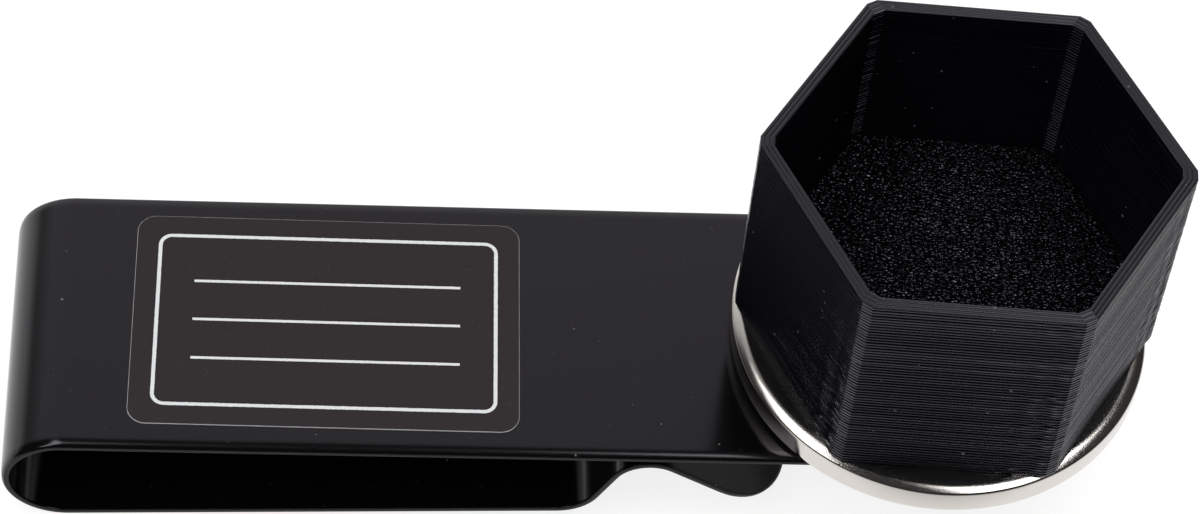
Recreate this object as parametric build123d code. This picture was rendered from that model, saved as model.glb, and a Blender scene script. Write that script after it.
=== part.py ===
"""Belt-clip chalk holder: a bent spring-steel clip, a disc magnet that sits on it and a printed
hexagonal cup that a second magnet in its floor holds to the disc.

Millimetres. The origin is at the middle of the whole object, on the surface that the clip's bend
lies on. +X runs along the clip from its bend to the cup, +Z is the cup's axis.
"""

from build123d import *
from math import cos, radians, sin, tan
import os

# Clip: one strip of black-coated spring steel, bent back under itself
strip_width = 25.4
strip_thickness = 0.7
clip_height = 10.5
plate_length = 88.0
plate_corner_radius = 5.0

# Spring arm: nearly level from the bend, then a steep rise to the pinch and a falling tongue
arm_angle = 2.5
arm_length = 43.2
rise_angle = 64.0
rise_radius = 4.0
pinch_gap = 0.4
pinch_radius = 2.8
tongue_angle = 35.0
tongue_length = 15.7
tongue_corner_radius = 7.3

# Label: a self-adhesive film on the plate
label_length = 32.4
label_width = 21.1
label_thickness = 0.12
label_corner_radius = 1.6
label_from_bend = 26.6
label_off_centre = 0.1
label_turn = -0.4

# Disc magnet: bare nickel-plated disc, held to the steel plate by its own pull
disc_diameter = 35.0
disc_thickness = 3.0
disc_edge_radius = 0.7
disc_from_bend = 78.0

# Cup: printed hexagonal socket with a thick floor, set and turned a little off true on the disc.
# When it is set true, its rounded corners stand out past the disc's rim by the overhang.
cup_overhang = 0.25
cup_off_axis_x = 0.35
cup_off_axis_y = 0.25
cup_height = 22.0
cup_wall = 1.1
cup_corner_radius = 0.95
socket_corner_radius = 0.5
cup_floor = 4.7
cup_turn = -3.9

# Cup magnet: in a round pocket in the floor, under the pad
cup_magnet_diameter = 20.0
cup_magnet_thickness = 3.0
cup_magnet_chamfer = 0.3
pocket_clearance = 0.15

# Floor pad: grained leather, cut to the socket
pad_thickness = 1.0
pad_clearance = 0.15

# Levels and places that follow from the sizes
bend_radius = clip_height / 2
plate_top = clip_height
plate_under = plate_top - strip_thickness
disc_top = plate_top + disc_thickness
floor_top = disc_top + cup_floor

cup_corner_centre = disc_diameter / 2 + cup_overhang - cup_corner_radius
cup_across_flats = 2 * (cup_corner_centre * cos(radians(30)) + cup_corner_radius)
socket_across_flats = cup_across_flats - 2 * cup_wall
pad_across_flats = socket_across_flats - 2 * pad_clearance

cup_reach = cup_off_axis_x + cup_corner_centre * cos(radians(cup_turn)) + cup_corner_radius
overall_length = disc_from_bend + max(disc_diameter / 2, cup_reach)

bend_x = -overall_length / 2
bend_axis_x = bend_x + bend_radius
plate_end_x = bend_x + plate_length
disc_x = bend_x + disc_from_bend
cup_x = disc_x + cup_off_axis_x
label_x = bend_x + label_from_bend


def direction(angle):
    """Unit vector in the XZ plane, at an angle in degrees from +X towards +Z."""
    return Vector(cos(radians(angle)), sin(radians(angle)))


def strip_inside(outer_line):
    """Solid strip whose outer face follows a line in the XZ plane, with its thickness on the left."""
    outline = offset(outer_line, strip_thickness, side=Side.LEFT)
    return extrude(Plane.XZ * make_face(outline), strip_width / 2, both=True)


def round_end(strip, radius):
    """The strip with the two corners of its +X end rounded."""
    end_face = strip.faces().sort_by(Axis.X)[-1]
    corners = end_face.edges().filter_by(Axis.Y, reverse=True)
    return fillet(corners, radius)


def hexagon(across_flats, corner_radius):
    """Hexagon with rounded corners about the cup's axis, two corners along the clip before its turn."""
    sharp = RegularPolygon(across_flats / 2, 6, major_radius=False)
    return Rot(0, 0, cup_turn) * fillet(sharp.vertices(), corner_radius)


def on_cup_axis(shape, level):
    """A shape made about the origin, moved to the cup's axis at a level."""
    return Pos(cup_x, cup_off_axis_y, level) * shape


def make_clip_plate():
    """Plate and U-bend, up to the line where the bend runs out into the arm."""
    plate = Line((plate_end_x, plate_top), (bend_axis_x, plate_top))
    bend = CenterArc((bend_axis_x, bend_radius), bend_radius, 90, 180 + arm_angle)
    return round_end(strip_inside(plate + bend), plate_corner_radius)


def make_spring_arm():
    """Arm from the bend to the pinch, with its falling tongue.

    The pinch is the round top between rise and tongue. The corner that its radius cuts off stands
    above it by the radius times (sin rise + sin tongue) / sin(rise + tongue) - 1.
    """
    rise, fall = radians(rise_angle), radians(tongue_angle)
    start = Vector(bend_axis_x, bend_radius) + direction(270 + arm_angle) * bend_radius
    knee = start + direction(arm_angle) * arm_length
    pinch_under = plate_under - pinch_gap - strip_thickness
    corner_height = pinch_radius * ((sin(rise) + sin(fall)) / sin(rise + fall) - 1)
    climb = pinch_under + corner_height - knee.Y
    pinch = knee + Vector(climb / tan(rise), climb)
    tip = pinch + direction(-tongue_angle) * tongue_length
    underside = FilletPolyline(start, knee, pinch, tip, radius=[rise_radius, pinch_radius])
    return round_end(strip_inside(underside), tongue_corner_radius)


def make_label():
    film = RectangleRounded(label_length, label_width, label_corner_radius)
    place = Pos(label_x, label_off_centre, plate_top) * Rot(0, 0, label_turn)
    return place * extrude(film, label_thickness)


def make_disc_magnet():
    disc = extrude(Circle(disc_diameter / 2), disc_thickness)
    return Pos(disc_x, 0, plate_top) * fillet(disc.edges(), disc_edge_radius)


def make_cup():
    body = extrude(hexagon(cup_across_flats, cup_corner_radius), cup_height)
    socket = Pos(0, 0, cup_floor) * extrude(
        hexagon(socket_across_flats, socket_corner_radius), cup_height
    )
    pocket_depth = cup_magnet_thickness + pocket_clearance
    pocket = Pos(0, 0, cup_floor - pocket_depth) * extrude(
        Circle(cup_magnet_diameter / 2 + pocket_clearance), cup_height
    )
    return on_cup_axis(body - socket - pocket, disc_top)


def make_cup_magnet():
    disc = extrude(Circle(cup_magnet_diameter / 2), cup_magnet_thickness)
    pocket_floor = floor_top - pocket_clearance - cup_magnet_thickness
    return on_cup_axis(chamfer(disc.edges(), cup_magnet_chamfer), pocket_floor)


def make_floor_pad():
    outline = hexagon(pad_across_flats, socket_corner_radius)
    return on_cup_axis(extrude(outline, pad_thickness), floor_top)


nodes = {
    "clip_plate": make_clip_plate(),
    "spring_arm": make_spring_arm(),
    "label": make_label(),
    "disc_magnet": make_disc_magnet(),
    "chalk_cup": make_cup(),
    "cup_magnet": make_cup_magnet(),
    "floor_pad": make_floor_pad(),
}

os.makedirs("parts", exist_ok=True)
for name, solid in nodes.items():
    export_step(solid, f"parts/{name}.step")
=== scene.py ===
"""Belt-clip chalk holder: the looks of a bent steel clip, a disc magnet and a printed hexagonal cup.

Laid out as an add-on and run as a script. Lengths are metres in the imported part's own frame: +X runs
along the clip from its bend to the cup, +Z is the cup's axis, and the bend rests on z = 0.
"""

import math

import bpy
import numpy as np
from bpy.props import FloatProperty, FloatVectorProperty, IntProperty, PointerProperty
from mathutils import Matrix, Vector


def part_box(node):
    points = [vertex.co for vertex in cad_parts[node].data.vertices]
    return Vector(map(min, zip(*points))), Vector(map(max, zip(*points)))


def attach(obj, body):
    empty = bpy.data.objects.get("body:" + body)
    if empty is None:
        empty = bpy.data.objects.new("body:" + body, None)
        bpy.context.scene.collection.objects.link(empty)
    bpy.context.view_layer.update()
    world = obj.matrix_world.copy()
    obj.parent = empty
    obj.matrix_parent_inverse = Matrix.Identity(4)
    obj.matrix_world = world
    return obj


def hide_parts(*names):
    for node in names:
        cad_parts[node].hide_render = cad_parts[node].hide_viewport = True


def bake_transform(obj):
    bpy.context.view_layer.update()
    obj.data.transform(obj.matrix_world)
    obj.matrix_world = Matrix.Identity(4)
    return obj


bl_info = {
    "name": "Chalk holder",
    "version": (1, 0, 0),
    "blender": (4, 5, 0),
    "location": "3D View > Sidebar > Chalk holder",
    "description": "Builds a belt-clip chalk holder around its packed CAD frame",
    "category": "Object",
}

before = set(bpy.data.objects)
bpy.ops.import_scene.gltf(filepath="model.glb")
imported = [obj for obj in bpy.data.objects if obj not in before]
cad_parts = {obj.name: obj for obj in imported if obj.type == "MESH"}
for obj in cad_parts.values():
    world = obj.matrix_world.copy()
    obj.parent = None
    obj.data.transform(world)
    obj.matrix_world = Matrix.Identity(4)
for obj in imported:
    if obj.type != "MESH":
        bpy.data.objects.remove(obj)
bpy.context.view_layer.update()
plate_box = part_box("clip_plate")
label_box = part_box("label")
disc_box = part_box("disc_magnet")
cup_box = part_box("chalk_cup")
pad_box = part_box("floor_pad")

MM = 0.001
HEX_TURN = math.radians(60)
COS_30 = math.cos(math.radians(30))


def length(name, description, default):
    return FloatProperty(name=name, description=description, default=default, precision=5,
                         subtype="DISTANCE", unit="LENGTH")


def angle(name, description, degrees):
    return FloatProperty(name=name, description=description, default=math.radians(degrees),
                         subtype="ANGLE", unit="ROTATION")


def share(name, description, default):
    return FloatProperty(name=name, description=description, default=default, min=0.0, precision=4)


def colour(name, description, default):
    return FloatVectorProperty(name=name, description=description, default=default, size=3,
                               min=0.0, max=1.0, subtype="COLOR")


class ClipSettings(bpy.types.PropertyGroup):
    thickness: length("Thickness", "Thickness of the steel strip", 0.7 * MM)
    plate_corner: length("Plate corners", "Radius of the plate's two end corners", 5.0 * MM)
    arm_angle: angle("Arm angle", "Angle at which the arm leaves the bend", 2.5)
    arm_length: length("Arm length", "From the bend to the corner of the rise", 43.2 * MM)
    rise_angle: angle("Rise angle", "Steepness of the rise to the pinch", 64.0)
    rise_radius: length("Rise radius", "Outer radius at the foot of the rise", 4.0 * MM)
    pinch_gap: length("Pinch gap", "Room between the pinch and the plate", 0.4 * MM)
    pinch_radius: length("Pinch radius", "Radius under the pinch", 2.8 * MM)
    tongue_angle: angle("Tongue angle", "Fall of the tongue past the pinch", 35.0)
    tongue_length: length("Tongue length", "From the pinch's corner to the tip", 15.7 * MM)
    tongue_corner: length("Tongue corners", "Radius of the tongue's two corners", 7.3 * MM)
    crown_width: length("Crown width", "How far in the outer face starts to fall to its edge", 0.78 * MM)
    crown_fall: length("Crown fall", "How far the outer face falls before its edge", 0.07 * MM)
    edge_radius: length("Outer edge", "Rounding of the outer face's edge", 0.30 * MM)
    burr_radius: length("Inner edge", "Rounding of the inner face's edge", 0.14 * MM)
    seam_x: length("Mesh seam", "Place on the plate where the two meshes of the strip meet", -41.0 * MM)
    coat: colour("Coat", "Black coat of the clip", (0.0020, 0.0019, 0.0021))
    coat_roughness: share("Coat roughness", "Roughness of the black coat", 0.11)


class LabelSettings(bpy.types.PropertyGroup):
    long_side: length("Long side", "Length of the film along the clip", 32.4 * MM)
    short_side: length("Short side", "Width of the film across the clip", 21.1 * MM)
    corner: length("Corners", "Radius of the film's corners", 1.6 * MM)
    turn: angle("Turn", "Turn of the film on the plate", -0.4)
    film: colour("Film", "Black of the printed film", (0.0048, 0.0032, 0.0038))
    edge: colour("Cut edge", "Pale core that shows at the film's edge", (0.58, 0.58, 0.60))
    ink: colour("Ink", "White of the printed rules", (0.80, 0.81, 0.83))
    rule_width: length("Rule width", "Width of the printed rules", 0.32 * MM)


class DiscSettings(bpy.types.PropertyGroup):
    crown_width: length("Crown width", "Width of the worn bevel round the top", 1.02 * MM)
    crown_inside: angle("Bevel inside", "Slope of the bevel where it leaves the flat", 0.5)
    crown_outside: angle("Bevel outside", "Slope of the bevel where it meets the edge", 27.0)
    corner: length("Edge radius", "Rounding of the top edge", 0.28 * MM)
    foot: length("Foot radius", "Rounding of the bottom edge", 0.62 * MM)
    plating: colour("Plating", "Colour of the nickel", (0.69, 0.655, 0.62))
    plating_roughness: share("Plating roughness", "Roughness of the nickel", 0.10)


class CupSettings(bpy.types.PropertyGroup):
    corner_centre: length("Corner centre", "From the axis to the centre of a corner's cut", 16.742 * MM)
    corner: length("Cut corners", "Width of the flat cut on the outer corners", 1.00 * MM)
    wall: length("Wall", "Thickness of the wall", 1.1 * MM)
    socket_corner: length("Socket corners", "Width of the flat cut in the inner corners", 1.0 * MM)
    floor: length("Floor", "Height of the socket's floor over the cup's foot", 4.7 * MM)
    pocket_radius: length("Pocket radius", "Radius of the magnet's pocket", 10.15 * MM)
    pocket_depth: length("Pocket depth", "Depth of the magnet's pocket", 3.15 * MM)
    turn: angle("Turn", "Turn of the cup on the disc", -3.9)
    layers: IntProperty(name="Layers", description="Printed layers from foot to rim", default=60)
    groove: length("Groove", "Mean depth of the grooves between layers", 0.18 * MM)
    ripple: length("Ripple", "Height of the ripples after each corner", 0.075 * MM)
    plastic: colour("Plastic", "Black of the printed plastic", (0.0011, 0.0010, 0.0022))
    plastic_roughness: share("Plastic roughness", "Roughness of the plastic", 0.17)


class PadSettings(bpy.types.PropertyGroup):
    across_flats: length("Across flats", "Width of the leather hexagon", 28.5 * MM)
    grain: length("Grain", "Mean width of a pebble of the grain", 0.28 * MM)
    grain_height: length("Grain height", "Height of the pebbles", 0.10 * MM)
    edge_radius: length("Edge", "Rounding of the cut edge", 0.35 * MM)
    leather: colour("Leather", "Black of the leather", (0.0016, 0.0016, 0.0021))
    leather_roughness: share("Leather roughness", "Roughness of the leather", 0.10)


class StageSettings(bpy.types.PropertyGroup):
    floor_size: length("Floor", "Side of the square floor", 6.0)
    floor: colour("Floor colour", "Pale floor", (0.8, 0.8, 0.8))
    back_wall: share("Back wall", "Brightness of the wall behind the object", 1.0)
    room: share("Room", "Brightness of the rest of the room", 0.035)
    boxes: share("Softboxes", "Brightness of the two softboxes overhead", 3.5)
    fill: share("Fill", "Brightness of the broad fill light", 1.4)


# Shader trees as expressions

class Wire:
    """One socket in an expression: each operator adds a Math node and gives its output."""

    def __init__(self, tree, socket):
        self.tree, self.socket = tree, socket

    def math(self, operation, *values):
        return self.tree.node("ShaderNodeMath", dict(enumerate(values)), operation=operation)

    def __add__(self, other):
        return self.math("ADD", self, other)

    def __sub__(self, other):
        return self.math("SUBTRACT", self, other)

    def __rsub__(self, other):
        return self.math("SUBTRACT", other, self)

    def __mul__(self, other):
        return self.math("MULTIPLY", self, other)

    def __truediv__(self, other):
        return self.math("DIVIDE", self, other)

    def __rtruediv__(self, other):
        return self.math("DIVIDE", other, self)

    def __pow__(self, other):
        return self.math("POWER", self, other)

    def __lt__(self, other):
        return self.math("LESS_THAN", self, other)

    def __gt__(self, other):
        return self.math("GREATER_THAN", self, other)

    def __abs__(self):
        return self.math("ABSOLUTE", self)

    __radd__, __rmul__ = __add__, __mul__

    def larger(self, other):
        return self.math("MAXIMUM", self, other)

    def smaller(self, other):
        return self.math("MINIMUM", self, other)

    def step(self, low, high):
        """0 below low, 1 above high and a smooth step between them; low may be the higher one."""
        return self.tree.node("ShaderNodeMapRange", {"Value": self, "From Min": low, "From Max": high},
                              interpolation_type="SMOOTHSTEP")


class Tree:
    """A node tree that is emptied and filled again through node()."""

    def __init__(self, owner):
        owner.use_nodes = True
        self.owner, self.tree = owner, owner.node_tree
        self.tree.nodes.clear()

    def node(self, kind, sockets=None, output=0, **settings):
        """Adds a node: its settings first, then its sockets' values or links."""
        made = self.tree.nodes.new(kind)
        for name, value in settings.items():
            setattr(made, name, value)
        for key, value in (sockets or {}).items():
            if isinstance(value, Wire):
                self.tree.links.new(value.socket, made.inputs[key])
            elif value is not None:
                default = made.inputs[key].default_value
                wants_alpha = hasattr(default, "__len__") and len(default) == 4
                made.inputs[key].default_value = (*value, 1.0) if wants_alpha else value
        return Wire(self, made.outputs[output]) if made.outputs else None

    def mm(self):
        """Object coordinates in millimetres."""
        place = self.node("ShaderNodeTexCoord", output="Object")
        return self.node("ShaderNodeVectorMath", {0: place, "Scale": 1000.0}, operation="SCALE")

    def uv(self, name):
        return self.node("ShaderNodeUVMap", uv_map=name)

    def stretched(self, vector, *scale):
        return self.node("ShaderNodeVectorMath", {0: vector, 1: scale}, operation="MULTIPLY")

    def axis(self, vector, name):
        return self.node("ShaderNodeSeparateXYZ", {"Vector": vector}, output=name)

    def attribute(self, name):
        return self.node("ShaderNodeAttribute", output="Fac", attribute_name=name)

    def noise(self, vector, scale, detail=2.0, roughness=0.5):
        return self.node("ShaderNodeTexNoise", {"Vector": vector, "Scale": scale, "Detail": detail,
                                                "Roughness": roughness})

    def warp(self, vector, scale, size):
        """A vector of noise, centred on zero, that bends a pattern when it is added to its place."""
        cloud = self.node("ShaderNodeTexNoise", {"Vector": vector, "Scale": scale, "Detail": 1.0},
                          output="Color")
        centred = self.node("ShaderNodeVectorMath", {0: cloud, 1: (0.5, 0.5, 0.5)}, operation="SUBTRACT")
        return self.node("ShaderNodeVectorMath", {0: centred, "Scale": size}, operation="SCALE")

    def cells(self, vector, scale, output="Distance", feature="F1", space="3D"):
        return self.node("ShaderNodeTexVoronoi", {"Vector": vector, "Scale": scale}, output=output,
                         feature=feature, voronoi_dimensions=space)

    def specks(self, vector, scale, radius, share, space="3D"):
        """1 in small round specks: points of a cell pattern, each cell holding one by chance."""
        chance = self.axis(self.cells(vector, scale, "Color", space=space), "X")
        near = self.cells(vector, scale, space=space) < chance * radius / share
        return near * (chance < share)

    def blend(self, factor, a, b):
        """The colour a where factor is 0 and b where it is 1."""
        return self.node("ShaderNodeMix", {0: factor, 6: a, 7: b}, output=2, data_type="RGBA")

    def bump(self, height, distance, normal=None):
        return self.node("ShaderNodeBump", {"Height": height, "Distance": distance, "Strength": 1.0,
                                            "Normal": normal})


class Finish(Tree):
    """A material made of one Principled shader."""

    def __init__(self, name):
        super().__init__(bpy.data.materials.new(name))

    def shade(self, sockets):
        shader = self.node("ShaderNodeBsdfPrincipled", sockets)
        self.node("ShaderNodeOutputMaterial", {"Surface": shader})
        return self.owner


def black_coat(look):
    """Black coat on rolled steel: faint rolling lines along the strip, dust, and a raw cut edge."""
    f = Finish("black_coat")
    flat = f.uv("strip_mm")
    cut = f.attribute("cut_edge")
    lines = f.noise(f.stretched(flat, 0.12, 14.0, 1.0), 1.0, 3.0)
    cloud = f.noise(f.stretched(flat, 0.05, 0.16, 1.0), 1.0, 2.0)
    dust = f.specks(flat, 0.42, 0.045, 0.10, "2D").larger(f.specks(flat, 1.3, 0.06, 0.06, "2D") * 0.5)
    grit = f.noise(f.mm(), 7.0, 3.0, 0.7)
    chips = grit.step(0.64, 0.76) * cut
    bare = f.blend(dust * 0.8, tuple(look.coat), (0.20, 0.19, 0.18))
    raw = f.blend(chips, (0.003, 0.003, 0.003), (0.10, 0.095, 0.09))
    peel = f.noise(flat, 1.1, 1.0)
    level = peel * 0.0012 + lines * 0.0004 + dust * 0.02 + grit * cut * 0.05
    return f.shade({
        "Base Color": f.blend(cut, bare, raw),
        "Roughness": look.coat_roughness + lines * 0.035 + cloud * 0.02 + dust * 0.4 + cut * 0.50,
        "IOR": 1.5,
        "Specular Tint": (0.97, 0.90, 1.0),
        "Normal": f.bump(level, MM),
    })


def label_film(look):
    """Matt black film with a white keyline and three ruled lines, and a pale core at its cut edge."""
    f = Finish("label_film")
    flat = f.uv("film_mm")
    u, v = f.axis(flat, "X"), f.axis(flat, "Y")
    edge = f.attribute("cut_edge")
    half, half_long, half_short = (size / MM / 2 for size in (look.rule_width, look.long_side,
                                                              look.short_side))
    margin, corner, rule_margin, rule_pitch = 2.0, 1.0, 5.0, 3.9
    ragged = f.noise(flat, 9.0, 1.0) * 0.10 - 0.05
    across = (abs(u) - (half_long - margin - corner)).larger(0.0)
    along = (abs(v) - (half_short - margin - corner)).larger(0.0)
    keyline = abs((across * across + along * along) ** 0.5 - corner) + ragged
    frame_line = (keyline < half) * ((across + along) > 0.0)
    inside = abs(u) < half_long - rule_margin
    beside = abs(abs(v) - rule_pitch).smaller(abs(v)) + ragged
    rules = (beside < half * 0.8) * inside
    ink = frame_line.larger(rules)
    grain = f.noise(flat, 11.0, 2.0, 0.6)
    sparkle = f.specks(flat, 4.0, 0.16, 0.12, "2D")
    film = f.blend(sparkle * 0.7, tuple(look.film), (0.10, 0.09, 0.088))
    worn = f.blend(f.noise(flat, 6.0, 2.0).step(0.55, 0.8) * 0.25, tuple(look.ink), (0.5, 0.5, 0.52))
    printed = f.blend(ink, film, worn)
    return f.shade({
        "Base Color": f.blend(edge, printed, tuple(look.edge)),
        "Roughness": 0.36 + grain * 0.16 - edge * 0.12,
        "IOR": 1.48,
        "Specular Tint": (1.0, 0.85, 0.91),
        "Normal": f.bump(grain * 0.006 + ink * 0.006, MM),
    })


def nickel(look):
    """Bright nickel plate: warm, fine pits and a faint waviness that breaks up its reflections."""
    f = Finish("nickel")
    place = f.mm()
    fine = f.noise(place, 11.0, 2.0, 0.6)
    broad = f.noise(place, 0.7, 2.0)
    pits = f.specks(place, 2.6, 0.07, 0.14)
    stain = f.noise(place, 0.25, 3.0).step(0.45, 0.75)
    tone = f.blend(stain * 0.3, tuple(look.plating), (0.58, 0.53, 0.48))
    return f.shade({
        "Base Color": f.blend(pits * 0.6, tone, (0.25, 0.23, 0.21)),
        "Metallic": 1.0,
        "Roughness": look.plating_roughness + fine * 0.06 + pits * 0.2,
        "Normal": f.bump(fine * 0.0055 + broad * 0.004 - pits * 0.01, MM),
    })


def printed_plastic(look):
    """Layer-printed plastic: satin, with fine ridges along the layers, stray pale specks, and a painted
    sheen that lightens the rim's top.
    """
    f = Finish("printed_plastic")
    place = f.mm()
    ridges = f.noise(f.stretched(place, 0.5, 0.5, 9.0), 1.0, 3.0, 0.6)
    patch = f.noise(f.stretched(place, 0.2, 0.2, 1.6), 1.0, 2.0)
    grain = f.noise(place, 8.0, 2.0)
    specks = f.specks(place, 0.8, 0.13, 0.5)
    # Painted sheen: the cup's last 0.1 mm at the rim takes a lighter base colour for the light its flat top
    # catches.
    rim = f.axis(place, "Z") > cup_box[1].z / MM - 0.1
    tone = f.blend(patch.step(0.35, 0.75), tuple(look.plastic), (0.0016, 0.0016, 0.0032))
    tone = f.blend(rim, tone, (0.012, 0.0105, 0.0105))
    return f.shade({
        "Base Color": f.blend(specks * 0.8, tone, (0.12, 0.12, 0.13)),
        "Roughness": look.plastic_roughness + (ridges - 0.5) * 0.10 + grain * 0.05,
        "IOR": 1.5,
        "Specular Tint": (0.82, 0.81, 1.0),
        "Normal": f.bump(ridges * 0.0006 + grain * 0.0006, MM),
    })


def black_leather(look):
    """Grained leather: domed satin pebbles, duller in the creases between them, with painted shade that
    darkens the creases.
    """
    f = Finish("black_leather")
    place = f.mm()
    pebbles = MM / look.grain
    long_way = f.stretched(place, 0.72, 1.1, 1.0)
    loose = f.node("ShaderNodeVectorMath", {0: long_way, 1: f.warp(place, 0.8, 0.25)}, operation="ADD")
    from_middle = f.cells(loose, pebbles)
    from_crease = f.cells(loose, pebbles, feature="DISTANCE_TO_EDGE")
    crest_with_crease_shade = from_crease.step(0.0, 0.22)
    pores = f.noise(place, 12.0, 2.0, 0.6)
    tall = look.grain_height / MM
    off_middle = f.node("ShaderNodeVectorMath", {0: loose, 1: f.cells(loose, pebbles, "Position")},
                        operation="SUBTRACT")
    chance = f.cells(loose, pebbles, "Color")
    lean = f.node("ShaderNodeVectorMath", {0: chance, 1: (0.5, 0.5, 0.5)}, operation="SUBTRACT")
    tilt = f.node("ShaderNodeVectorMath", {0: off_middle, 1: lean}, operation="DOT_PRODUCT", output="Value")
    dome = from_middle * from_middle * (0.2 + f.axis(chance, "Z") * 1.4) * (tall * 2.0)
    level = crest_with_crease_shade * (tall * 0.4) - dome + tilt * 1.25 + pores * 0.004
    return f.shade({
        # Base colour: painted shade, darker in the creases between the pebbles.
        "Base Color": f.blend(crest_with_crease_shade, (0.0010, 0.0010, 0.0012), tuple(look.leather)),
        "Roughness": look.leather_roughness + (1 - crest_with_crease_shade) * 0.25 + (pores - 0.5) * 0.16,
        "IOR": 1.6,
        "Specular Tint": (0.80, 0.80, 1.0),
        "Normal": f.bump(level, MM),
    })


# Surfaces worked out as arrays

def grid_quads(rows, columns, closed=True):
    """Quads between neighbouring rows and columns of a grid, the last column joined to the first."""
    r = np.arange(rows - 1)[:, None]
    c = np.arange(columns if closed else columns - 1)[None, :]
    n = (c + 1) % columns
    a, b = r * columns, (r + 1) * columns
    return np.stack(np.broadcast_arrays(a + c, a + n, b + n, b + c), -1).reshape(-1, 4)


def signed_volume(points, faces):
    """Sum over fans of corner triples of the box product: above 0 where faces point outwards."""
    total = 0.0
    for group in faces:
        p = points[group]
        for i in range(1, group.shape[1] - 1):
            total += np.einsum("ij,ij->i", p[:, 0], np.cross(p[:, i], p[:, i + 1])).sum()
    return total


def put_piece(name, points, faces, finish, uv=None, values=None, sharp=None, creases=None):
    """Puts arrays of points and faces into a smooth mesh object at the origin, faces turned outwards.

    Edges above the sharp angle are creased, and so are edges between points of the same crease number.
    """
    if signed_volume(points, faces) < 0:
        faces = [group[:, ::-1] for group in faces]
    mesh = bpy.data.meshes.new(name)
    mesh.from_pydata(points.tolist(), [], [f for group in faces for f in group.tolist()],
                     shade_flat=False)
    if uv:
        layer_name, pairs = uv
        corner = np.zeros(len(mesh.loops), np.int32)
        mesh.loops.foreach_get("vertex_index", corner)
        layer = mesh.uv_layers.new(name=layer_name)
        layer.data.foreach_set("uv", pairs[corner].astype(np.float32).ravel())
    for key, array in (values or {}).items():
        store = mesh.attributes.new(key, "FLOAT", "POINT")
        store.data.foreach_set("value", array.astype(np.float32))
    if sharp:
        mesh.set_sharp_from_angle(angle=sharp)
    if creases is not None:
        ends, hard = np.zeros(2 * len(mesh.edges), np.int32), np.zeros(len(mesh.edges), bool)
        mesh.edges.foreach_get("vertices", ends)
        mesh.edges.foreach_get("use_edge_sharp", hard)
        one, other = creases[ends[::2]], creases[ends[1::2]]
        mesh.edges.foreach_set("use_edge_sharp", hard | ((one == other) & (one >= 0)))
    mesh.materials.append(finish)
    mesh.validate()
    piece = bpy.data.objects.new(name, mesh)
    bpy.context.scene.collection.objects.link(piece)
    return piece


def unit(turn):
    """Unit vectors (cos, sin) at the given turns, one to a row."""
    return np.stack([np.cos(turn), np.sin(turn)], 1)


def along_runs(runs, start, heading, s):
    """Points and headings at arc lengths s on a line of runs of constant curvature.

    In a run of curvature k the heading is h + k l, and the point lies a chord of l sinc(k l / 2)
    away in the direction h + k l / 2.
    """
    size, bend = np.array(runs).T
    first = np.concatenate([[0.0], np.cumsum(size)[:-1]])
    turned = heading + np.concatenate([[0.0], np.cumsum(size * bend)[:-1]])

    def chord(h, k, l):
        return (l * np.sinc(k * l / (2 * np.pi)))[:, None] * unit(h + k * l / 2)

    corner = start + np.concatenate([np.zeros((1, 2)), np.cumsum(chord(turned, bend, size), 0)[:-1]])
    i = np.clip(np.searchsorted(first, s, side="right") - 1, 0, len(first) - 1)
    l = s - first[i]
    return corner[i] + chord(turned[i], bend[i], l), turned[i] + bend[i] * l


def half_outline(stations, half_width, first_corner, last_corner, steps=20):
    """One side of a strip's flat outline, its points and outward normals, from end to end.

    A rounded end is a quarter circle from the end's normal to the side's; a plain cut has radius 0.
    """
    turn = np.linspace(0, np.pi / 2, steps)
    begin, end = stations[0], stations[-1]
    parts = []
    for radius, place, sign in ((first_corner, begin, -1), (last_corner, end, 1)):
        normal = np.stack([sign * np.cos(turn), np.sin(turn)], 1)
        if radius:
            arc = np.array([place - sign * radius, half_width - radius]) + radius * normal
        else:
            arc, normal = np.array([[place, half_width]]), np.array([[0.0, 1.0]])
        parts.append((arc, normal))
    (arc_a, norm_a), (arc_b, norm_b) = parts
    inner = stations[(stations > begin + first_corner + 1e-6) & (stations < end - last_corner - 1e-6)]
    side = np.stack([inner, np.full_like(inner, half_width)], 1)
    side_normal = np.tile([0.0, 1.0], (len(inner), 1))
    return (np.concatenate([arc_a, side, arc_b[::-1]]),
            np.concatenate([norm_a, side_normal, norm_b[::-1]]))


def shell(half, normals, profile):
    """A flat sheet as loops of its outline, each set in and sunk as the edge profile says.

    Gives the flat place (s, y) and depth of each point, with both faces closed by bands across.
    """
    mirror = np.array([1.0, -1.0])
    outline = np.concatenate([half, (half * mirror)[::-1]])
    outward = np.concatenate([normals, (normals * mirror)[::-1]])
    rows, columns, pairs = len(profile), len(outline), len(half)
    flat = (outline[None] - profile[:, 0, None, None] * outward[None]).reshape(-1, 2)
    depth = np.repeat(profile[:, 1], columns)
    j = np.arange(pairs - 1)
    band = np.stack([j + 1, j, columns - 1 - j, columns - 2 - j], 1)
    last = (rows - 1) * columns
    faces = np.concatenate([grid_quads(rows, columns), band, band[:, ::-1] + last])
    return flat, depth, faces


def sheared_edge(thickness, crown, fall, corner, burr, flat_run):
    """Edge profile of (set-in, height): a slow fall, a tight round, the cut and a small round below.

    The outer face falls by fall s^2.4 over the crown's width, and the round goes on from its slope.
    """
    s = np.linspace(0, 1, 9)
    lean = math.atan(2.4 * fall / crown)
    turn = np.linspace(lean, np.pi / 2, 6)
    set_in = corner * (1 - np.sin(turn))
    slow = np.stack([set_in[0] + crown * (1 - s), -fall * s ** 2.4], 1)
    tight = np.stack([set_in, -fall - corner * (math.cos(lean) - np.cos(turn))], 1)
    round_off = np.linspace(0, np.pi / 2, 5)
    lower = np.stack([burr * (1 - np.cos(round_off)), -thickness + burr * (1 - np.sin(round_off))], 1)
    return np.concatenate([slow[:1] + [[flat_run, 0.0]], slow, tight[1:], lower,
                           [[burr + flat_run, -thickness]]])


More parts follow.
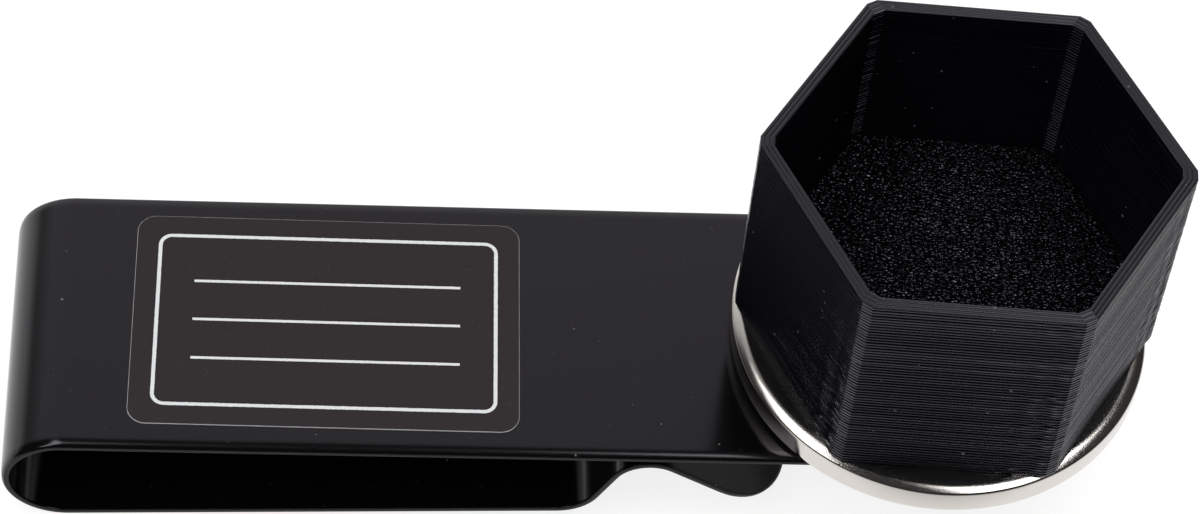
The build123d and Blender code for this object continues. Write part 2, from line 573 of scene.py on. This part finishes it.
def strip_line(clip):
    """Runs of the strip's outer face: plate, bend, arm, foot of the rise, rise, pinch and tongue."""
    low, high = plate_box
    radius = high.z / 2
    axis_x = low.x + radius
    arm, rise, fall = clip.arm_angle, clip.rise_angle, clip.tongue_angle
    knee_z = radius - radius * math.cos(arm) + clip.arm_length * math.sin(arm)
    pinch_under = high.z - 2 * clip.thickness - clip.pinch_gap
    corner = clip.pinch_radius * ((math.sin(rise) + math.sin(fall)) / math.sin(rise + fall) - 1)
    climb = (pinch_under + corner - knee_z) / math.sin(rise)
    foot = clip.rise_radius * math.tan((rise - arm) / 2)
    top = clip.pinch_radius * math.tan((rise + fall) / 2)
    runs = [
        (high.x - axis_x, 0.0),
        (radius * (math.pi + arm), 1 / radius),
        (clip.arm_length - foot, 0.0),
        (clip.rise_radius * (rise - arm), 1 / clip.rise_radius),
        (climb - foot - top, 0.0),
        (clip.pinch_radius * (rise + fall), -1 / clip.pinch_radius),
        (clip.tongue_length - top, 0.0),
    ]
    return runs, np.array([high.x, high.z])


def run_stations(runs):
    """Arc lengths along the runs: every 2 degrees on a bend, sparse on a straight, closer at its ends."""
    places, at = [], 0.0
    for size, bend in runs:
        if bend:
            count = math.ceil(abs(size * bend) / math.radians(2.0))
            places.append(at + np.linspace(0, size, count + 1))
        else:
            places.append(at + np.array([0.0, 0.25 * MM, size / 3, 2 * size / 3, size - 0.25 * MM, size]))
        at += size
    return np.unique(np.round(np.concatenate(places), 8))


def strip_piece(name, clip, begin, end, first_corner, last_corner, finish):
    """Part of the bent strip: its flat outline with a rolled edge, carried along the outer line."""
    runs, start = strip_line(clip)
    low, high = plate_box
    stations = run_stations(runs)
    inner = stations[(stations > begin + 1e-6) & (stations < end - 1e-6)]
    half, normals = half_outline(np.concatenate([[begin], inner, [end]]), (high.y - low.y) / 2,
                                 first_corner, last_corner)
    profile = sheared_edge(clip.thickness, clip.crown_width, clip.crown_fall, clip.edge_radius,
                           clip.burr_radius, 0.2 * MM)
    flat, depth, faces = shell(half, normals, profile)
    place, heading = along_runs(runs, start, math.pi, flat[:, 0])
    out = np.stack([np.sin(heading), -np.cos(heading)], 1)
    xz = place + depth[:, None] * out
    points = np.stack([xz[:, 0], flat[:, 1], xz[:, 1]], 1)
    set_in = np.repeat(profile[:, 0], len(points) // len(profile))
    cut = (depth < -clip.crown_fall - 0.7 * clip.edge_radius) & (set_in < 0.4 * clip.burr_radius)
    return put_piece(name, points, [faces], finish, ("strip_mm", flat / MM), {"cut_edge": cut},
                     math.radians(50))


def turned_about(points, centre, turn):
    """Points turned about a vertical axis through centre."""
    c, s = math.cos(turn), math.sin(turn)
    xy = points[:, :2] @ np.array([[c, s], [-s, c]]) + np.array([centre.x, centre.y])
    return np.column_stack([xy, points[:, 2]])


def middle_of(box):
    return (box[0] + box[1]) / 2


def set_over(points, box):
    """Points about the origin's axis moved to the middle of a box in X and Y."""
    middle = middle_of(box)
    return points + np.array([middle.x, middle.y, 0.0])


def raised(rows, height):
    """Rows of flat points, each row lifted to its own height."""
    return np.concatenate([rows, np.broadcast_to(height[:, None, None], (*rows.shape[:2], 1))], -1)


def pole_fan(row, columns, pole):
    """Triangles from one row of a grid to a single point."""
    c = np.arange(columns)
    return np.stack([row * columns + c, row * columns + (c + 1) % columns, np.full(columns, pole)], 1)


def closed_rows(rows, first_z, last_z):
    """Rings of points closed by a pole on the axis past the first ring and one past the last."""
    count, columns = rows.shape[:2]
    poles = np.array([[0.0, 0.0, first_z], [0.0, 0.0, last_z]])
    fans = np.concatenate([pole_fan(0, columns, count * columns)[:, ::-1],
                           pole_fan(count - 1, columns, count * columns + 1)])
    return np.concatenate([rows.reshape(-1, 3), poles]), [grid_quads(count, columns), fans]


def disc_profile(look):
    """Radii and heights of the disc's section, from its top over the rim to its underside.

    The bevel's angle grows evenly over its width, so its fall is the running sum of the mean slopes
    times a step's width. A tight round goes on from its last angle, and a wider one ends at the foot.
    """
    low, high = disc_box
    outer = (high.x - low.x) / 2
    steps = 12
    slope = np.tan(np.linspace(look.crown_inside, look.crown_outside, steps + 1))
    turn = np.linspace(look.crown_outside, np.pi / 2, 8)
    lip_r = outer - look.corner * (1 - np.sin(turn))
    inner = lip_r[0] - look.crown_width
    crown_r = np.linspace(inner, lip_r[0], steps + 1)
    fall = np.concatenate([[0.0], np.cumsum((slope[1:] + slope[:-1]) / 2)]) * look.crown_width / steps
    lip_fall = fall[-1] + look.corner * (math.cos(look.crown_outside) - np.cos(turn))
    under = np.linspace(0, np.pi / 2, 9)
    radius = np.concatenate([[0.4 * inner, inner - 0.3 * MM], crown_r, lip_r[1:],
                             outer - look.foot * (1 - np.cos(under)), [0.5 * inner]])
    height = np.concatenate([[high.z, high.z], high.z - fall, high.z - lip_fall[1:],
                             low.z + look.foot * (1 - np.sin(under)), [low.z]])
    return radius, height


class HexColumns:
    """Columns round a hexagon with flat cut corners, clockwise from above as the nozzle ran.

    A column's point is its corner's centre, plus a share of the way to the next corner's centre,
    plus the cut's width times a vector that runs straight from one face's normal to the next one's.
    The columns are close after each corner.
    """

    def __init__(self, turn):
        over = np.array([0.0, 0.12, 0.88, 1.0])
        near = np.linspace(0.02, 0.27, 18)
        far = np.linspace(0.27, 1.0, 6)[1:-1]
        side = len(near) + len(far)
        corner = turn - HEX_TURN * np.arange(6)[:, None]
        lean = np.radians(np.concatenate([[15, 0, 0, -15], np.full(side, -30)]))
        slant = np.concatenate([1 - 2 * over, np.full(side, -1.0)]) * 0.5
        self.corner = np.broadcast_to(corner, (6, side + 4)).ravel()
        self.way = np.tile(np.concatenate([np.zeros(4), near, far]), 6)
        self.cut = np.tile(np.concatenate([[False, True, True, False], np.zeros(side, bool)]), 6)
        self.crease = np.tile(np.concatenate([[True, False, False, True], np.zeros(side, bool)]), 6)
        self.out = unit((corner + lean).ravel())
        self.edge = COS_30 * unit(self.corner) + np.tile(slant, 6)[:, None] * unit(self.corner + np.pi / 2)
        self.count = len(self.way)

    def outline(self, centre, cut_width):
        """Points for a distance of the corners' centres from the axis and a width of the cut corners."""
        here, there = unit(self.corner), unit(self.corner - HEX_TURN)
        return centre * (here + self.way[:, None] * (there - here)) + cut_width * self.edge


def layer_rows(cup, columns, first, last, step, seed, side, share, loose, on_cut):
    """Heights and outward set of a printed wall: rows at the given shares of each layer's height.

    A layer's section is half an ellipse, so at share s it is set in by groove (1 - sqrt(1 - (2 s - 1)^2)).
    The groove is shallower towards the rim, and on_cut times as deep on the cut corners. Each layer has
    a chance offset and lean, and ripples that die away after each corner, taller low on the wall:
    ripple exp(-run / 3.2 mm) sin(2 pi run / 2.1 mm).
    """
    spread, tip, settled = 0.008 * MM, 0.006 * MM, 0.015 * MM
    dying, onset, wavelength, drift_size, drift_run = (size * MM for size in (3.2, 0.3, 2.1, 0.004, 2.6))
    rng = np.random.default_rng(seed)
    count = last - first
    offset = np.clip(rng.standard_t(3, count), -3.5, 2) * spread * loose
    lean = rng.normal(0, tip, (count, 1)) * loose
    up = np.arange(first, last) / cup.layers
    fading = np.interp(up, [0.0, 0.5, 0.9], [1.1, 1.0, 0.65])
    groove = cup.groove * rng.uniform(0.75, 1.25, (count, 1)) * fading[:, None]
    height = ((first + np.arange(count))[:, None] + share) * step
    off_middle = 2 * share - 1
    set_out = offset[:, None] + lean * off_middle
    set_in = groove * (1 - np.sqrt(1 - off_middle ** 2))
    set_in[1:, 0] = np.maximum(groove[1:, 0], groove[:-1, 0])
    run = columns.way * side
    full = np.where(columns.cut, on_cut, 1.0)
    phase = rng.normal(0, 0.5, count)
    size = cup.ripple * loose * rng.uniform(0.3, 1.6, count) * np.interp(up, [0.2, 0.8], [1.0, 0.4])
    after = np.exp(-run / dying) * (1 - np.exp(-run / onset))
    wave = np.sin(2 * np.pi * run / wavelength + phase[:, None]) * after * size[:, None]
    drift = drift_size * np.sin(run / drift_run + rng.uniform(0, 6.3, (count, 1)) + 2 * columns.corner)
    total = set_out[:, :, None] - set_in[:, :, None] * full + (wave + drift)[:, None, :]
    return height.ravel(), np.minimum(total.reshape(count * len(share), -1) - settled, 0.0)


def cup_surface(cup):
    """The printed cup as rings of points: layered outside, rim, layered socket, floor and magnet pocket.

    Each wall is its outline set out by its layers' sections. The rim goes straight from the outer to
    the inner outline over three beads, each sunk by a fourth power of the distance from its middle.
    """
    columns = HexColumns(cup.turn)
    foot, rim = cup_box[0].z, cup_box[1].z
    step = (rim - foot) / cup.layers
    inner_centre = (cup.corner_centre * COS_30 + cup.corner - cup.wall - cup.socket_corner) / COS_30
    outside = columns.outline(cup.corner_centre, cup.corner)
    inside = columns.outline(inner_centre, cup.socket_corner)

    six = np.array([0.0, 0.05, 0.20, 0.50, 0.80, 0.95])
    high, grow = layer_rows(cup, columns, 0, cup.layers, step, 11, cup.corner_centre, six, 1.0, 0.36)
    outer = raised(outside + grow[:, :, None] * columns.out, foot + high)

    beads, per_bead = 3, 6
    edge_sink, seam_sink, rolled = 0.05 * MM, 0.045 * MM, 0.02 * MM
    share = np.linspace(0, 1, beads * per_bead + 1)
    bead = np.abs(2 * ((share * beads) % 1.0) - 1) ** 4
    sink = np.where(share % 1.0 == 0, edge_sink, seam_sink * bead)
    across = share[:, None, None]
    over = outside * (1 - across) + inside * across - rolled * (1 - 2 * across) * columns.out
    top = raised(over, rim - sink)

    bottom_layer = round(cup.floor / step)
    five = np.array([0.0, 0.12, 0.50, 0.80, 0.95])
    deep, swell = layer_rows(cup, columns, bottom_layer, cup.layers, step, 23, inner_centre, five, 0.4, 1.0)
    inner = raised(inside - swell[:, :, None] * columns.out, foot + deep)

    floor_z = foot + cup.floor
    pocket_z = floor_z - cup.pocket_depth
    circle = unit(np.arctan2(inside[:, 1], inside[:, 0])) * cup.pocket_radius
    ring = raised(np.stack([inside, circle, circle]), np.array([floor_z, floor_z, pocket_z]))

    rows = np.concatenate([outer, top, inner[::-1], ring])
    points, faces = closed_rows(rows, foot, pocket_z)
    column = np.where(columns.crease, np.arange(columns.count), -1)
    return points, faces, np.concatenate([np.tile(column, len(rows)), [-1, -1]])


def pad_surface(pad, turn):
    """The leather hexagon: three rhombic grids, gently uneven, rounded at the cut edge, closed below.

    A rhombus holds u P + v Q for u and v from 0 to 1, where P and Q are corners of the hexagon. The
    top falls by r - sqrt(r^2 - (r - d)^2) at a distance d from the edge, for d below the radius r.
    """
    way = np.concatenate([np.linspace(0, 0.97, 36), 1 - 0.03 * np.array([0.66, 0.38, 0.16, 0.04, 0.0])])
    steps = len(way)
    u, v = np.meshgrid(way, way, indexing="ij")
    p = pad.across_flats / 2 / COS_30 * unit(turn + 2 * HEX_TURN * np.arange(4))
    flat = np.concatenate([u[..., None] * p[k] + v[..., None] * p[k + 1] for k in range(3)]).reshape(-1, 2)
    quads = np.concatenate([grid_quads(steps, steps, closed=False) + k * steps ** 2 for k in range(3)])
    same_place = 0.001 * MM
    _, first, same = np.unique(np.round(flat / same_place).astype(int), axis=0,
                               return_index=True, return_inverse=True)
    flat, quads = flat[first], same.ravel()[quads][:, ::-1]

    normal = unit(turn + HEX_TURN * (np.arange(6) + 0.5))
    from_edge = np.clip(pad.across_flats / 2 - (flat @ normal.T).max(1), 0, None)
    dip = np.clip(pad.edge_radius - from_edge, 0, None)
    rounding = pad.edge_radius - np.sqrt(pad.edge_radius ** 2 - dip ** 2)
    x, y = flat.T / MM
    uneven = 0.5 + 0.25 * (np.sin(0.83 * x + 0.4 * y + 1.0) + np.sin(0.35 * x - 0.91 * y + 2.0))
    low, high = pad_box[0].z, pad_box[1].z
    top = np.column_stack([flat, high - 0.03 * MM * uneven - rounding])

    rim = np.nonzero(from_edge < same_place)[0]
    rim = rim[np.argsort(np.arctan2(flat[rim, 1], flat[rim, 0]))]
    foot = np.column_stack([flat[rim], np.full(len(rim), low)])
    here = np.arange(len(rim))
    after = (here + 1) % len(rim)
    base = len(top)
    wall = np.stack([rim[here], base + here, base + after, rim[after]], 1)
    under = np.stack([base + after, base + here, np.full(len(rim), base + len(rim))], 1)
    return np.concatenate([top, foot, [[0.0, 0.0, low]]]), [quads, wall, under]


# Operators, one for each piece or group of like pieces

class CHALK_OT_clip(bpy.types.Operator):
    """Steel strip as two meshes that meet on the flat: the front plate, and the bend with its arm"""
    bl_idname = "chalk.make_clip"
    bl_label = "Make clip"

    def execute(self, context):
        clip = context.scene.chalk_clip
        runs, start = strip_line(clip)
        seam = start[0] - clip.seam_x
        total = sum(size for size, bend in runs)
        finish = black_coat(clip)
        plate = strip_piece("front_plate", clip, 0.0, seam, clip.plate_corner, 0.0, finish)
        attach(plate, "clip")
        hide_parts("clip_plate")
        arm = strip_piece("bend_and_arm", clip, seam, total, 0.0, clip.tongue_corner, finish)
        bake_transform(arm)
        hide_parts("spring_arm")
        return {"FINISHED"}


class CHALK_OT_label(bpy.types.Operator):
    """Self-adhesive film on the plate, with a pale cut edge and ruled lines"""
    bl_idname = "chalk.make_label"
    bl_label = "Make label"

    def execute(self, context):
        look = context.scene.chalk_label
        low, high = label_box
        thick = high.z - low.z
        stations = np.linspace(-look.long_side / 2, look.long_side / 2, 9)
        half, normals = half_outline(stations, look.short_side / 2, look.corner, look.corner)
        profile = sheared_edge(thick, crown=0.03 * MM, fall=0.004 * MM, corner=0.04 * MM, burr=0.01 * MM,
                               flat_run=0.15 * MM)
        flat, depth, faces = shell(half, normals, profile)
        points = turned_about(np.column_stack([flat, high.z + depth]), middle_of(label_box), look.turn)
        edge_width = 0.032 * MM
        edge = np.repeat(profile[:, 0] < edge_width, len(half) * 2)
        piece = put_piece("label_film", points, [faces], label_film(look), ("film_mm", flat / MM),
                          {"cut_edge": edge})
        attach(piece, "clip")
        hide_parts("label")
        return {"FINISHED"}


class CHALK_OT_disc(bpy.types.Operator):
    """Nickel-plated disc magnet: a profile turned about its axis, with a bevel that steepens to the edge"""
    bl_idname = "chalk.make_disc"
    bl_label = "Make disc"

    def execute(self, context):
        look = context.scene.chalk_disc
        low, high = disc_box
        radius, height = disc_profile(look)
        around = unit(np.linspace(0, 2 * np.pi, 256, endpoint=False))
        points, faces = closed_rows(raised(radius[:, None, None] * around, height), high.z, low.z)
        finish = nickel(look)
        piece = put_piece("magnet_disc", set_over(points, disc_box), faces, finish)
        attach(piece, "disc")
        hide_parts("disc_magnet")
        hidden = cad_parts["cup_magnet"]
        hidden.data.materials.clear()
        hidden.data.materials.append(finish)
        return {"FINISHED"}


class CHALK_OT_cup(bpy.types.Operator):
    """Layer-printed hexagonal cup with a magnet pocket in its floor"""
    bl_idname = "chalk.make_cup"
    bl_label = "Make cup"

    def execute(self, context):
        cup = context.scene.chalk_cup
        points, faces, creases = cup_surface(cup)
        piece = put_piece("printed_cup", set_over(points, cup_box), faces, printed_plastic(cup),
                          sharp=math.radians(60), creases=creases)
        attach(piece, "cup")
        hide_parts("chalk_cup")
        return {"FINISHED"}


class CHALK_OT_pad(bpy.types.Operator):
    """Grained leather hexagon on the cup's floor"""
    bl_idname = "chalk.make_pad"
    bl_label = "Make pad"

    def execute(self, context):
        pad, cup = context.scene.chalk_pad, context.scene.chalk_cup
        points, faces = pad_surface(pad, cup.turn)
        piece = put_piece("leather_pad", set_over(points, cup_box), faces, black_leather(pad),
                          sharp=math.radians(60))
        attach(piece, "cup")
        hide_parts("floor_pad")
        return {"FINISHED"}


class CHALK_OT_stage(bpy.types.Operator):
    """Pale floor, soft studio light and the camera"""
    bl_idname = "chalk.make_stage"
    bl_label = "Make stage"

    def execute(self, context):
        stage = context.scene.chalk_stage
        self.make_floor(context, stage)
        self.make_room(context, stage)
        self.make_lamp(context, "left_box", (-0.459, -0.121, 0.80), (0.95, 0.25), stage.boxes, (0, 0, 54))
        self.make_lamp(context, "right_box", (0.31, -0.045, 0.80), (0.67, 0.35), stage.boxes, (0, 0, -74))
        fill = self.make_lamp(context, "fill", (-0.35, -0.65, 1.0), (1.2, 1.2), stage.fill, (32, -16, 0))
        fill.visible_glossy = False
        self.make_camera(context)
        context.scene.view_settings.view_transform = "Standard"
        return {"FINISHED"}

    def make_floor(self, context, stage):
        """A pale floor, clear from below and where a piece at its joint's limit dips under it.

        Reflections see it bright round the part, by 1 / (1 + (distance / fading)^2), and far behind it.
        """
        half_x, half_y, fading, search, window_reach = 48 * MM, 20 * MM, 60 * MM, 60 * MM, 40 * MM
        side = stage.floor_size / 2
        mesh = bpy.data.meshes.new("floor")
        mesh.from_pydata([(-side, -side, 0), (side, -side, 0), (side, side, 0), (-side, side, 0)], [],
                         [(0, 1, 2, 3)])
        floor = bpy.data.objects.new("floor", mesh)
        context.scene.collection.objects.link(floor)
        tree = Tree(bpy.data.materials.new("floor"))
        camera, gloss, glass = (tree.node("ShaderNodeLightPath", output=f"Is {kind} Ray")
                                for kind in ("Camera", "Glossy", "Transmission"))
        mirror = gloss.larger(glass) * (1 - camera)
        place = tree.node("ShaderNodeTexCoord", output="Object")
        depth = tree.axis(place, "Y")
        past_end = (abs(tree.axis(place, "X")) - half_x).larger(0.0)
        past_side = (abs(depth) - half_y).larger(0.0)
        near = 0.95 / (1 + (past_end * past_end + past_side * past_side) / fading ** 2)
        lit = near + (1 - near) * depth.step(0.0, 60 * MM) * 0.7
        lit = lit * (1 - depth.step(-half_y, -30 * MM) * 0.35)
        unseen = tree.blend(mirror, tuple(stage.floor), (0.10, 0.10, 0.10))
        paint = tree.blend(camera, unseen, (0.30, 0.30, 0.30))
        matt = tree.node("ShaderNodeBsdfDiffuse", {"Color": paint})
        shine = camera * 0.82 + mirror * lit
        glow = tree.node("ShaderNodeEmission", {"Color": (1.0, 1.0, 1.0), "Strength": shine})
        both = tree.node("ShaderNodeAddShader", {0: matt, 1: glow})
        clear = tree.node("ShaderNodeBsdfTransparent")
        below = tree.node("ShaderNodeAmbientOcclusion", {"Distance": search}, output="AO",
                          samples=24, inside=True)
        window = tree.node("ShaderNodeMixShader", {0: below < 0.999, 1: both, 2: clear})
        close = camera * (past_end < window_reach) * (past_side < window_reach)
        above = tree.node("ShaderNodeMixShader", {0: close, 1: both, 2: window})
        under = tree.node("ShaderNodeNewGeometry", output="Backfacing")
        shown = tree.node("ShaderNodeMixShader", {0: under, 1: above, 2: clear})
        tree.node("ShaderNodeOutputMaterial", {"Surface": shown})
        mesh.materials.append(tree.owner)

    def make_room(self, context, stage):
        """A lit wall behind, brighter low down and dim far to the left, and a dark room round the rest.

        The floor sweeps up into the wall, and each softbox has a soft halo on its far side. The limits
        are parts along X, Y and Z of the direction that is looked in.
        """
        world = bpy.data.worlds.new("room")
        context.scene.world = world
        tree = Tree(world)
        way = tree.node("ShaderNodeTexCoord", output="Generated")
        side, depth, high = (tree.axis(way, name) for name in "XYZ")
        wall = (depth.step(0.42, 0.54) + depth.step(0.45, 0.85)) * 0.5
        wall = wall * (1 - side.step(-0.55, -0.85) * 0.65) * (1 - side.step(0.25, 0.65))
        sweep = high.step(0.24, -0.02) * depth.step(0.15, 0.5) * 0.5
        halo = sum(((side - x) ** 2.0 + (depth - y) ** 2.0).step(0.03, 0.0) * 0.35
                   for x, y in ((-0.26, 0.33), (0.20, 0.28))) * high.step(0.0, 0.3)
        level = stage.room + (wall + sweep + halo) * (stage.back_wall - stage.room)
        camera = tree.node("ShaderNodeLightPath", output="Is Camera Ray")
        shown = level * (1 - camera) + camera
        back = tree.node("ShaderNodeBackground", {"Color": (1.0, 1.0, 1.0), "Strength": shown})
        tree.node("ShaderNodeOutputWorld", {"Surface": back})

    def make_lamp(self, context, name, place, sides, brightness, turn):
        """A lamp turned from facing down; its power is pi times its area times its brightness."""
        data = bpy.data.lights.new(name, "AREA")
        data.shape, data.size, data.size_y = "RECTANGLE", *sides
        data.energy = math.pi * sides[0] * sides[1] * brightness
        lamp = bpy.data.objects.new(name, data)
        context.scene.collection.objects.link(lamp)
        lamp.location, lamp.rotation_euler = place, [math.radians(degrees) for degrees in turn]
        return lamp

    def make_camera(self, context):
        data = bpy.data.cameras.new("camera")
        data.sensor_fit, data.sensor_width, data.lens = "HORIZONTAL", 36.0, 126.37
        data.clip_start, data.clip_end = 0.01, 20.0
        camera = bpy.data.objects.new("camera", data)
        context.scene.collection.objects.link(camera)
        right = Vector((0.99763824, -0.01906923, 0.06598706))
        up = Vector((-0.02294954, 0.81294062, 0.58189420))
        back = Vector((-0.06473983, -0.58203429, 0.81058303))
        turn = Matrix((right, up, back)).transposed().to_4x4()
        camera.matrix_world = Matrix.Translation((-0.021543, -0.201445, 0.301613)) @ turn
        context.scene.camera = camera


PIECES = (CHALK_OT_clip, CHALK_OT_label, CHALK_OT_disc, CHALK_OT_cup, CHALK_OT_pad, CHALK_OT_stage)
SETTINGS = {
    "chalk_clip": ClipSettings, "chalk_label": LabelSettings, "chalk_disc": DiscSettings,
    "chalk_cup": CupSettings, "chalk_pad": PadSettings, "chalk_stage": StageSettings,
}


class CHALK_PT_pieces(bpy.types.Panel):
    """Lists the pieces with their sizes and colours"""
    bl_idname = "CHALK_PT_pieces"
    bl_label = "Chalk holder"
    bl_space_type = "VIEW_3D"
    bl_region_type = "UI"
    bl_category = "Chalk holder"

    def draw(self, context):
        for piece, name in zip(PIECES, SETTINGS):
            box = self.layout.box()
            box.operator(piece.bl_idname)
            group = getattr(context.scene, name)
            for key in group.__annotations__:
                box.prop(group, key)


CLASSES = (*SETTINGS.values(), *PIECES, CHALK_PT_pieces)


def register():
    for item in CLASSES:
        bpy.utils.register_class(item)
    for name, group in SETTINGS.items():
        setattr(bpy.types.Scene, name, PointerProperty(type=group))


def unregister():
    for name in SETTINGS:
        delattr(bpy.types.Scene, name)
    for item in reversed(CLASSES):
        bpy.utils.unregister_class(item)


def main():
    register()
    for piece in PIECES:
        group, name = piece.bl_idname.split(".")
        getattr(getattr(bpy.ops, group), name)()


if __name__ == "__main__":
    main()
